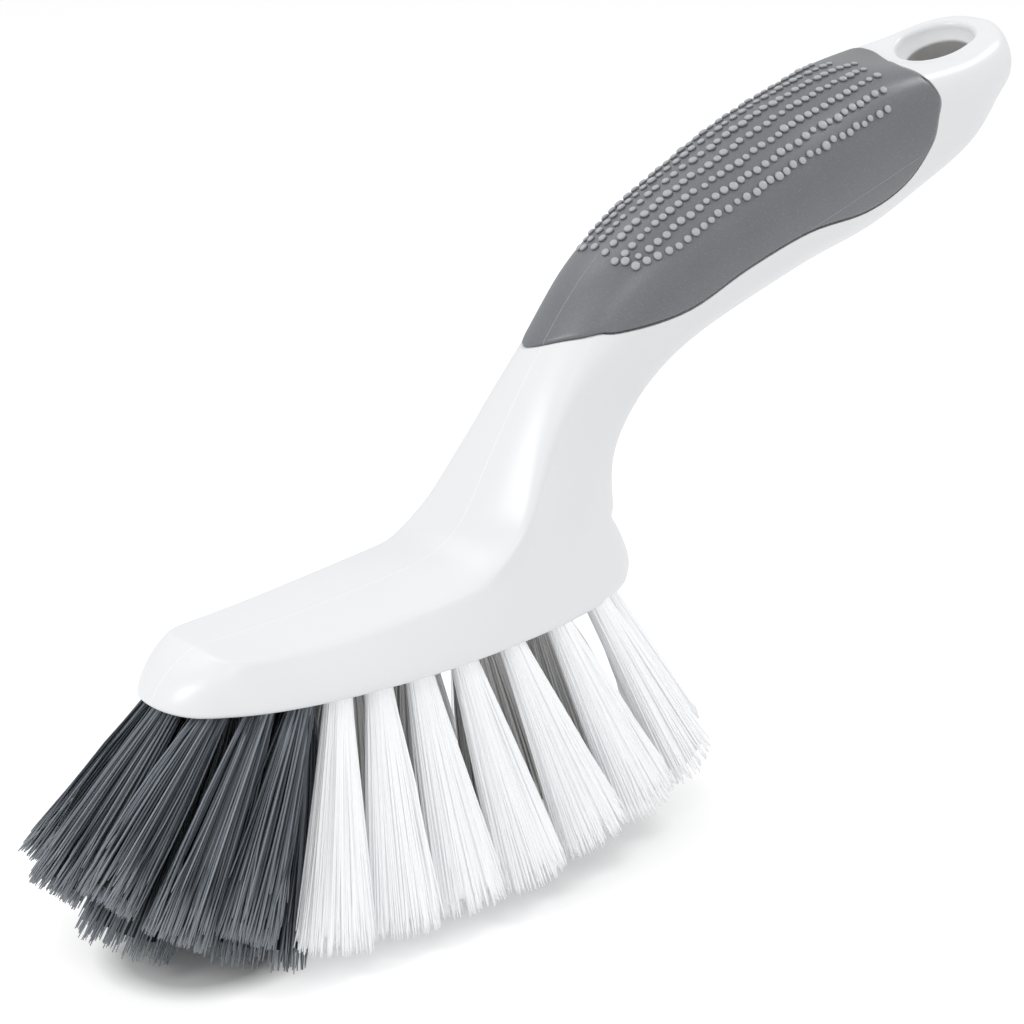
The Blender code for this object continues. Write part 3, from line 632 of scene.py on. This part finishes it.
def surface_points(u, v):
    """Points of the handle's smooth surface at u along and v around, where v = 0 is the top."""
    i, j = np.floor(u).astype(int), np.floor(v).astype(int)
    steps = np.arange(-1, 3)
    rings, columns = i[:, None] + steps, (j[:, None] + steps + AROUND // 2) % AROUND
    picked = GRID[rings[:, :, None], columns[:, None, :]]
    return np.einsum("an,bn,nabk->nk", spline_weights(u - i), spline_weights(v - j), picked)


def surface_normals(u, v):
    step = 0.01
    along = surface_points(u + step, v) - surface_points(u - step, v)
    around = surface_points(u, v + step) - surface_points(u, v - step)
    normals = np.cross(along, around)
    return normals / np.linalg.norm(normals, axis=1)[:, None]


def on_surface(u, v):
    """One point of the surface and its normal."""
    u, v = np.array([u]), np.array([v])
    return Vector(surface_points(u, v)[0]), Vector(surface_normals(u, v)[0])


def grip_rays():
    """Lines over the surface, as (u, v), from the grip's middle line outwards, all round it."""
    first, last = GRIP_CORE
    starts, ways = [], []
    for side, begin, end in ((1, last, first), (-1, first, last)):
        for k in range(CAP_RAYS):
            angle = math.pi * (k / CAP_RAYS - 0.5)
            starts.append(begin)
            ways.append((side * math.cos(angle), side * math.sin(angle) * RAY_SPREAD))
        for k in range(SIDE_RAYS):
            starts.append(begin + (end - begin) * k / SIDE_RAYS)
            ways.append((0.0, side * RAY_SPREAD))
    return np.array(starts), np.array(ways)


def grip_mesh():
    """The soft grip: the handle's surface inside the grip's edge, raised a little, with a rounded lip
    all round and an inner side."""
    near, far = grip_line(-1), grip_line(1)
    starts, ways = grip_rays()

    def place(reach):
        return starts + ways[:, 0] * reach, ways[:, 1] * reach

    def depth(reach):
        points, normals = surface_points(*place(reach)), surface_normals(*place(reach))
        distance, slope = distance_to_lines(points, near, far)
        tilt = normals[:, 0] * slope[:, 0] + normals[:, 2] * slope[:, 1]
        return distance / np.maximum(np.sqrt(np.maximum(1 - tilt ** 2, 0)), LEAST_SLANT)

    def reach_at(level):
        low, high = np.zeros(len(starts)), np.full(len(starts), RAY_END)
        found = np.zeros(len(starts), bool)
        for reach in np.linspace(0, RAY_END, SEARCH_STEPS)[1:]:
            out = ~found & (depth(np.full(len(starts), reach)) < level)
            high[out] = reach
            found |= out
            low[~found] = reach
        for _ in range(HALVINGS):
            middle = (low + high) / 2
            inside = depth(middle) > level
            low, high = np.where(inside, middle, low), np.where(inside, high, middle)
        return low

    layers = [(reach_at(level), height) for level, height in LIP_PROFILE]
    last, raised = layers[-1]
    layers += [(last * (1 - step / INNER_RINGS), raised) for step in range(1, INNER_RINGS + 1)]
    builder = bmesh.new()
    depth_inside = GRIP_THICKNESS - INNER_CLEARANCE
    outer, inner = [], []
    for reach, height in layers:
        points, normals = surface_points(*place(reach)), surface_normals(*place(reach))
        outer.append([builder.verts.new(point) for point in points + normals * height])
        inner.append([builder.verts.new(point) for point in points - normals * depth_inside])
    for first, second in (*zip(outer, outer[1:]), *zip(inner[1:], inner), (inner[0], outer[0])):
        skin(builder, [*first, first[0]], [*second, second[0]])
    bmesh.ops.remove_doubles(builder, verts=outer[-1] + inner[-1], dist=SEAM_DISTANCE)
    return mesh_from(builder, "soft_grip_skin")


def coloured_mesh(name, points, faces, layer, colours):
    mesh = bpy.data.meshes.new(name)
    mesh.from_pydata(points, [], faces)
    made = mesh.color_attributes.new(layer, "FLOAT_COLOR", "POINT")
    made.data.foreach_set("color", [value for colour in colours for value in colour])
    mesh.update()
    return mesh


def dots_mesh():
    chance = random.Random(SEED)
    raised = LIP_PROFILE[-1][1]
    points, faces, rises = [], [], []
    places, widths = zip(*DOT_FIELD)
    for row in range(DOT_ROWS):
        u = DOT_START + chance.uniform(0, FIRST_SLACK)
        last = DOT_END - LAST_SLOPE * abs(row - DOT_ROWS / 2 + 0.5)
        while u < last:
            half = float(np.interp(u, places, widths))
            v = DOT_SPACE * row - half + chance.uniform(-SIDE_SLACK, SIDE_SLACK)
            if v > half + EDGE_SLACK:
                break
            begins = [start for edge, start in enumerate(ROW_STARTS)
                      if abs(abs(v) - half + DOT_SPACE * edge) < DOT_SPACE * ROW_WITHIN]
            pulled = max(0.0, begins[0] - u) if begins else 0.0
            v -= math.copysign(pulled, v)
            here, normal = on_surface(u, v)
            size = chance.choice(DOT_SIZES) * chance.uniform(*SIZE_RANGE)
            add_dot(points, faces, rises, here + normal * raised, normal, DOT_RADIUS * size,
                    DOT_HEIGHT * size, chance)
            stretch = (on_surface(u + DOT_STEP, v)[0] - here).length / DOT_STEP
            u += DOT_PITCH * chance.uniform(*PITCH_RANGE) / stretch
    # How high each point of a dome stands, read by the dots' material for painted shade at their feet.
    return coloured_mesh("grip_dots", points, faces, "rise", [(rise, rise, rise, 1.0) for rise in rises])


def add_rings(faces, first, rings, sides):
    """The faces between rings of points that follow each other. Gives the last ring's first point."""
    for ring in range(rings - 1):
        for k in range(sides):
            a, b = first + ring * sides + k, first + ring * sides + (k + 1) % sides
            faces.append((a, b, b + sides, a + sides))
    return first + (rings - 1) * sides


def add_dot(points, faces, rises, middle, normal, radius, height, chance):
    """One dome, and how high each of its points is."""
    side = normal.orthogonal().normalized()
    other = normal.cross(side)
    turn, long = chance.uniform(0, math.tau), chance.uniform(LONGEST, ROUNDEST)
    first = len(points)
    for wide, high in DOT_PROFILE:
        for k in range(DOT_SIDES):
            angle = math.tau * k / DOT_SIDES
            a, b = math.cos(angle) * radius * wide, math.sin(angle) * radius * wide * long
            points.append(middle + normal * (height * high)
                          + side * (a * math.cos(turn) - b * math.sin(turn))
                          + other * (a * math.sin(turn) + b * math.cos(turn)))
            rises.append(max(high, 0.0))
    points.append(middle + normal * height)
    rises.append(1.0)
    last = add_rings(faces, first, len(DOT_PROFILE), DOT_SIDES)
    for k in range(DOT_SIDES):
        faces.append((last + k, last + (k + 1) % DOT_SIDES, len(points) - 1))
    faces.append(tuple(reversed(range(first, first + DOT_SIDES))))


def close_strand(faces, first, rings, sides):
    last = add_rings(faces, first, rings, sides)
    faces.append(tuple(range(last, last + sides)))
    faces.append(tuple(reversed(range(first, first + sides))))


def tuft_core(place, chance, packing, points, faces, colours):
    """The filaments packed inside a tuft, as one ribbed form that ends behind the tips."""
    _, mouth, axis, along, across, length, wide, deep = place
    spread, _, filled, _, _, late = packing
    first = len(points)
    ribs = [(1.0 - RIB_DEPTH * (k % 2) - chance.uniform(0, RIB_SLACK), chance.random())
            for k in range(CORE_SIDES)]
    for step in CORE_STEPS:
        flare = max(step, 0.0) ** late
        reach_x = (TUFT_ROOT * (1 - flare) + wide * spread * flare) * filled
        reach_y = (TUFT_ROOT * (1 - flare) + deep * spread * flare) * filled
        for k, (rib, shade) in enumerate(ribs):
            angle = math.tau * k / CORE_SIDES
            points.append(mouth + axis * (length * step) + along * (math.cos(angle) * reach_x * rib)
                          + across * (math.sin(angle) * reach_y * rib))
            colours.append((shade, max(step, 0.0), 0.0, 1.0))
    close_strand(faces, first, len(CORE_STEPS), CORE_SIDES)


def tuft_object(name, place, chance, packing):
    """One tuft's strands round its core as one piece, with how far along and how deep in the tuft each
    point is. The inner strands show only past the core's end."""
    _, mouth, axis, along, across, length, wide, deep = place
    spread, inner_share, _, straightness, raggedness, late = packing
    points, faces, colours = [], [], []
    tuft_core(place, chance, packing, points, faces, colours)
    for number in range(OUTER_STRANDS + INNER_STRANDS):
        outer = number < OUTER_STRANDS
        if outer:
            radius = math.sqrt(inner_share + (1 - inner_share) * (number + 0.5) / OUTER_STRANDS)
        else:
            radius = math.sqrt(inner_share * (number - OUTER_STRANDS + 0.5) / INNER_STRANDS)
        angle = number * math.pi * (3 - math.sqrt(5)) + chance.uniform(-TURN_SLACK, TURN_SLACK)
        x, y = radius * math.cos(angle), radius * math.sin(angle)
        tip_x = (x + chance.gauss(0, TIP_SLACK)) * wide * spread
        tip_y = (y + chance.gauss(0, TIP_SLACK)) * deep * spread
        bow_x, bow_y = chance.gauss(0, straightness), chance.gauss(0, straightness)
        if chance.random() < STRAY_SHARE:
            tip_x, tip_y = tip_x * STRAY_REACH, tip_y * STRAY_REACH
            bow_x, bow_y = bow_x * STRAY_BOW, bow_y * STRAY_BOW
        full = length - min(chance.expovariate(1 / raggedness), raggedness * MOST_RAGGED)
        tip = mouth + along * tip_x + across * tip_y + axis * full
        if tip.z < FLOOR_GAP:
            full -= (FLOOR_GAP - tip.z) / -axis.z
        shade, first = chance.random(), len(points)
        size = STRAND_RADIUS * chance.uniform(*RADIUS_RANGE)
        twist = chance.uniform(0, math.tau)
        steps = [pair for pair in zip(STRAND_STEPS, STRAND_SWELLS) if outer or pair[0] > TIPS_FROM]
        for step, swell in steps:
            flare = max(step, 0.0) ** late
            bow = math.sin(math.pi * max(step, 0.0)) if step < 1 else 0.0
            middle = (mouth + axis * (full * step)
                      + along * (x * TUFT_ROOT * (1 - flare) + tip_x * flare + bow_x * bow)
                      + across * (y * TUFT_ROOT * (1 - flare) + tip_y * flare + bow_y * bow))
            for k in range(STRAND_SIDES):
                turn = twist + math.tau * k / STRAND_SIDES
                aside = along * math.cos(turn) + across * math.sin(turn)
                points.append(middle + aside * (size * swell))
                colours.append((shade, max(step, 0.0), radius, 1.0))
        close_strand(faces, first, len(steps), STRAND_SIDES)
    return add_object(name, coloured_mesh(name, points, faces, "strand", colours))


class Surface:
    """A node material, with short calls for its nodes."""

    def __init__(self, name, colour, roughness, metallic=0.0):
        self.material = bpy.data.materials.new(name)
        self.material.use_nodes = True
        self.tree = self.material.node_tree
        self.shader = self.tree.nodes["Principled BSDF"]
        self.set({"Base Color": (*colour, 1.0), "Roughness": roughness, "Metallic": metallic})

    def set(self, values):
        for socket, value in values.items():
            self.shader.inputs[socket].default_value = value

    def node(self, kind, values=None, **settings):
        made = self.tree.nodes.new("ShaderNode" + kind)
        for name, value in settings.items():
            setattr(made, name, value)
        for socket, value in (values or {}).items():
            if isinstance(value, bpy.types.NodeSocket):
                self.tree.links.new(value, made.inputs[socket])
            else:
                made.inputs[socket].default_value = value
        return made

    def link(self, output, socket):
        self.tree.links.new(output, self.shader.inputs[socket])

    def place(self):
        return self.node("TexCoord").outputs["Object"]

    def noise(self, scale, detail=2.0, roughness=0.5):
        return self.node("TexNoise", {"Vector": self.place(), "Scale": scale, "Detail": detail,
                                      "Roughness": roughness}).outputs["Fac"]

    def ranged(self, value, low, high, start=0.0, end=1.0):
        return self.node("MapRange", {"Value": value, "From Min": start, "From Max": end, "To Min": low,
                                      "To Max": high}).outputs["Result"]

    def mixed(self, share, first, second):
        colours = [value if isinstance(value, bpy.types.NodeSocket) else (*value, 1.0)
                   for value in (first, second)]
        made = self.node("Mix", {"Factor": share, 6: colours[0], 7: colours[1]}, data_type="RGBA")
        return made.outputs[2]

    def maths(self, operation, first, second=0.0):
        return self.node("Math", {0: first, 1: second}, operation=operation).outputs[0]

    def vector(self, operation, first, second=(0.0, 0.0, 0.0)):
        """What a vector operation gives: a vector, or a length or product as a value."""
        node = self.node("VectorMath", {0: first, 1: tuple(second)}, operation=operation)
        return node.outputs[0 if operation == "SUBTRACT" else "Value"]

    def bump(self, height, strength, distance, under=None):
        values = {"Height": height, "Strength": strength, "Distance": distance}
        if under is not None:
            values["Normal"] = under
        return self.node("Bump", values).outputs["Normal"]

    def coordinates(self):
        return self.node("SeparateXYZ", {"Vector": self.place()}).outputs

    def line(self, away, half_width):
        return self.ranged(self.maths("ABSOLUTE", away), 1.0, 0.0, half_width * LINE_CORE, half_width)

    def parting_line(self, half_width, last):
        """1 on the plane between the two halves of the mould as far as x = last, and 0 elsewhere."""
        place = self.coordinates()
        line = self.line(place["Y"], half_width)
        return self.maths("MULTIPLY", line, self.maths("LESS_THAN", place["X"], last))

    def side_line(self, half_width, start, end):
        """1 on a straight line over the near side, as seen from the side, and 0 elsewhere."""
        run = Vector((end.x - start.x, 0, end.z - start.z))
        here = self.vector("SUBTRACT", self.place(), start)
        across = Vector((-run.z, 0, run.x)).normalized()
        line = self.line(self.vector("DOT_PRODUCT", here, across), half_width)
        along = self.vector("DOT_PRODUCT", here, run.normalized())
        middle = self.maths("ABSOLUTE", self.maths("SUBTRACT", along, run.length / 2))
        fade = self.ranged(middle, 1.0, 0.0, run.length * LINE_FADE, run.length / 2)
        near = self.maths("LESS_THAN", self.coordinates()["Y"], 0.0)
        return self.maths("MULTIPLY", self.maths("MULTIPLY", line, fade), near)

    def painted_bore_shade(self):
        """0 outside the hanging hole's bore and 1 well down it: a mask for painted shade where little light
        comes.
        """
        here = self.vector("SUBTRACT", self.place(), handle_point(1, 1) + ORIGIN)
        height = self.vector("DOT_PRODUCT", here, END_UP)
        reach = self.vector("LENGTH", here)
        aside = self.maths("POWER", self.maths("SUBTRACT", self.maths("POWER", reach, 2.0),
                                               self.maths("POWER", height, 2.0)), 0.5)
        near = self.ranged(aside, 1.0, 0.0, *(HANG_BORE / 2 + edge for edge in SHADE_ASIDE))
        deep = self.ranged(height, 1.0, 0.0, *(-HANG_TAPER + edge for edge in SHADE_DEEP))
        return self.maths("MULTIPLY", near, deep)


def body_surface():
    made = Surface("white_moulding", (0.86, 0.865, 0.875), 0.36)
    blotch = made.noise(45.0, 3.0)
    line = made.parting_line(BODY_LINE, ORIGIN.x + HEAD_LENGTH * BODY_LINE_END)
    white = made.mixed(blotch, (0.778, 0.784, 0.796), (0.800, 0.805, 0.816))
    # The parting line is painted lighter over its bump: a painted highlight along the thin ridge.
    white = made.mixed(made.maths("MULTIPLY", line, 0.5), white, (0.90, 0.90, 0.905))
    # The base colour darkens down the hanging hole's bore: painted shade.
    made.link(made.mixed(made.painted_bore_shade(), white, (0.33, 0.325, 0.315)), "Base Color")
    made.link(made.ranged(blotch, 0.26, 0.33), "Roughness")
    grain = made.bump(made.noise(2200.0), 0.05, 0.0001)
    made.link(made.bump(line, 0.35, 0.00008, grain), "Normal")
    return made.material


def grip_surface():
    made = Surface("grey_elastomer", (0.18, 0.19, 0.205), 0.5)
    made.set({"Specular IOR Level": 1.0})
    speckle = made.noise(3600.0, 2.0, 0.6)
    cloud = made.noise(70.0, 3.0)
    shade = made.mixed(cloud, (0.108, 0.116, 0.128), (0.129, 0.138, 0.149))
    grains = made.ranged(speckle, 0.0, 0.40, 0.52, 0.72)
    shade = made.mixed(grains, shade, (0.26, 0.27, 0.285))
    line = made.parting_line(GRIP_LINE, on_surface(*GRIP_LINE_END)[0].x + ORIGIN.x)
    ends = [on_surface(*place)[0] + ORIGIN for place in SIDE_LINE_ENDS]
    line = made.maths("MAXIMUM", line, made.side_line(SIDE_LINE, *ends))
    # The parting lines are painted lighter over their bumps: a painted highlight along each thin ridge.
    made.link(made.mixed(made.maths("MULTIPLY", line, 0.4), shade, (0.36, 0.375, 0.39)), "Base Color")
    made.link(made.ranged(cloud, 0.35, 0.42), "Roughness")
    fine = made.bump(speckle, 0.2, 0.0001)
    made.link(made.bump(line, 0.6, 0.0001, fine), "Normal")
    return made.material


def dots_surface():
    made = Surface("grey_elastomer_dots", (0.33, 0.345, 0.36), 0.42)
    made.set({"Specular IOR Level": 0.7})
    cloud = made.noise(600.0)
    # Each dot's colour runs from dark at its foot to light grey at its top: painted shade round the foot of
    # each dome.
    rise = made.node("Attribute", attribute_name="rise").outputs["Fac"]
    top = made.mixed(cloud, (0.36, 0.372, 0.39), (0.43, 0.443, 0.46))
    made.link(made.mixed(made.ranged(rise, 0.0, 1.0, 0.2, 0.8), (0.10, 0.107, 0.118), top), "Base Color")
    made.link(made.ranged(cloud, 0.36, 0.48), "Roughness")
    made.link(made.bump(made.noise(2600.0), 0.15, 0.0001), "Normal")
    return made.material


def strand_surface(name, core, shades, tip, roughness, painted_glow):
    """Nylon strands, each a little different, over the deeper ones of the core, whose darker colours are
    painted shade between the strands. A faint painted glow stands in for the light that passes through
    pale strands."""
    made = Surface(name, shades[0], roughness)
    made.set({"Specular IOR Level": 0.35, "Emission Color": (0.94, 0.965, 1.0, 1.0),
              "Emission Strength": painted_glow})
    parts = made.node("SeparateColor", {"Color": made.node(
        "Attribute", attribute_name="strand").outputs["Color"]}).outputs
    shade = made.mixed(made.maths("POWER", parts["Red"], 1.7), *shades)
    shade = made.mixed(made.ranged(parts["Green"], 0.0, 1.0, 0.80, 1.0), shade, tip)
    # Deep in a tuft, the core and the inner strands take the core's darker colours: painted shade between
    # the strands.
    deep = made.mixed(parts["Red"], *core)
    made.link(made.mixed(made.ranged(parts["Blue"], 0.0, 1.0, 0.05, 0.3), deep, shade), "Base Color")
    made.link(made.ranged(made.noise(800.0), roughness - 0.06, roughness + 0.06), "Roughness")
    return made.material


def anchor_surface():
    made = Surface("staple_metal", (0.72, 0.56, 0.30), 0.35, 1.0)
    drawn = made.noise(1500.0)
    made.link(made.mixed(drawn, (0.62, 0.47, 0.24), (0.78, 0.62, 0.36)), "Base Color")
    made.link(made.ranged(drawn, 0.25, 0.5), "Roughness")
    return made.material


def dress(name, mesh, surface, *nodes):
    """The mesh as a piece on the root body, in place of these nodes."""
    mesh.transform(Matrix.Translation(ORIGIN))
    piece = add_object(name, mesh)
    mesh.materials.clear()
    mesh.materials.append(surface)
    mesh.shade_smooth()
    mesh.set_sharp_from_angle(angle=SHARP_ANGLE)
    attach(piece, "root")
    if nodes:
        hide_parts(*nodes)
    return piece


def add_moulding(frames):
    body = rounded(body_cage(), "moulding")
    level_rim(body)
    body = cut_from(body, [recess_mesh(), hang_hole_mesh(body), tuft_holes_mesh(frames)], "moulding")
    dress("white_moulding", body, body_surface(), "handle_body")


def add_grip():
    dress("grip_saddle", grip_mesh(), grip_surface(), "soft_grip")
    dress("grip_dots", dots_mesh(), dots_surface())


def add_tufts(frames):
    nylons = {name: strand_surface(name, *looks) for name, looks in NYLONS.items()}
    chance = random.Random(SEED)
    for place in frames:
        node = place[0]
        is_dark, is_inner = any(word in node for word in DARK_TUFTS), "inner" in node
        packing = DARK_PACKING if is_dark else PALE_PACKING
        if is_inner:
            packing = (INNER_SPREAD, *packing[1:-1], INNER_FLARE)
        tuft = tuft_object(node + "_strands", place, chance, packing)
        # Inner pale tufts take the painted-shade copy of the white nylon.
        nylon = "charcoal_nylon" if is_dark else "white_nylon_painted_shade" if is_inner else "white_nylon"
        tuft.data.materials.append(nylons[nylon])
        tuft.data.shade_smooth()
        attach(tuft, "root")
        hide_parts(node)


def colour_anchors():
    metal = anchor_surface()
    for name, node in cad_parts.items():
        if name.startswith("anchor_"):
            node.data.materials.clear()
            node.data.materials.append(metal)


def add_brush():
    frames = tuft_frames()
    add_moulding(frames)
    add_grip()
    add_tufts(frames)
    colour_anchors()


def add_floor():
    builder = bmesh.new()
    bmesh.ops.create_grid(builder, x_segments=1, y_segments=1, size=FLOOR_SIZE)
    floor = add_object("floor", mesh_from(builder, "floor"))
    made = Surface("white_floor", FLOOR_COLOUR, 0.5)
    made.tree.nodes.remove(made.shader)
    # The floor's glow for the camera is none under the toe's tufts and most just round them: a painted
    # shadow.
    away = made.vector("LENGTH", made.vector("SUBTRACT", made.place(), PAINTED_SHADOW_SPOT))
    glow = made.maths("ADD", *(made.ranged(away, *fade) for fade in FLOOR_GLOW_AND_PAINTED_SHADOW))
    glow = made.maths("MULTIPLY", made.node("LightPath").outputs["Is Camera Ray"], glow)
    matt = made.node("BsdfDiffuse", {"Color": (*FLOOR_COLOUR, 1.0)}).outputs[0]
    both = made.node("AddShader", {0: matt, 1: made.node("Emission", {"Strength": glow}).outputs[0]})
    made.tree.links.new(both.outputs[0], made.tree.nodes["Material Output"].inputs["Surface"])
    floor.data.materials.append(made.material)


def add_studio():
    world = bpy.data.worlds.new("studio")
    bpy.context.scene.world = world
    world.use_nodes = True
    tree = world.node_tree
    tree.nodes.clear()
    output, background, path, strength = (tree.nodes.new("ShaderNode" + kind) for kind in (
        "OutputWorld", "Background", "LightPath", "MapRange"))
    strength.inputs["To Min"].default_value = WORLD_STRENGTH
    tree.links.new(path.outputs["Is Camera Ray"], strength.inputs["Value"])
    tree.links.new(strength.outputs["Result"], background.inputs["Strength"])
    tree.links.new(background.outputs[0], output.inputs["Surface"])
    for name, place, aim, size, power in LAMPS:
        lamp = bpy.data.lights.new(name, "AREA")
        lamp.size, lamp.energy = size, power
        made = add_object(name, lamp)
        made.location = place
        made.rotation_euler = (Vector(aim) - Vector(place)).to_track_quat("-Z", "Y").to_euler()
    bpy.context.scene.view_settings.view_transform = "Standard"


def add_camera():
    data = bpy.data.cameras.new("camera")
    camera = add_object("camera", data)
    aim = ORIGIN + Vector(VIEW_AIM)
    level = math.cos(VIEW_ELEVATION)
    away = Vector((math.sin(VIEW_AZIMUTH) * level, -math.cos(VIEW_AZIMUTH) * level,
                   math.sin(VIEW_ELEVATION)))
    camera.location = aim + away * VIEW_DISTANCE
    camera.rotation_euler = (-away).to_track_quat("-Z", "Y").to_euler()
    data.sensor_width, data.lens = SENSOR_WIDTH, FOCAL_LENGTH
    data.sensor_fit = "HORIZONTAL"
    data.clip_start = NEAREST
    bpy.context.scene.camera = camera


add_camera()
add_brush()
add_floor()
add_studio()
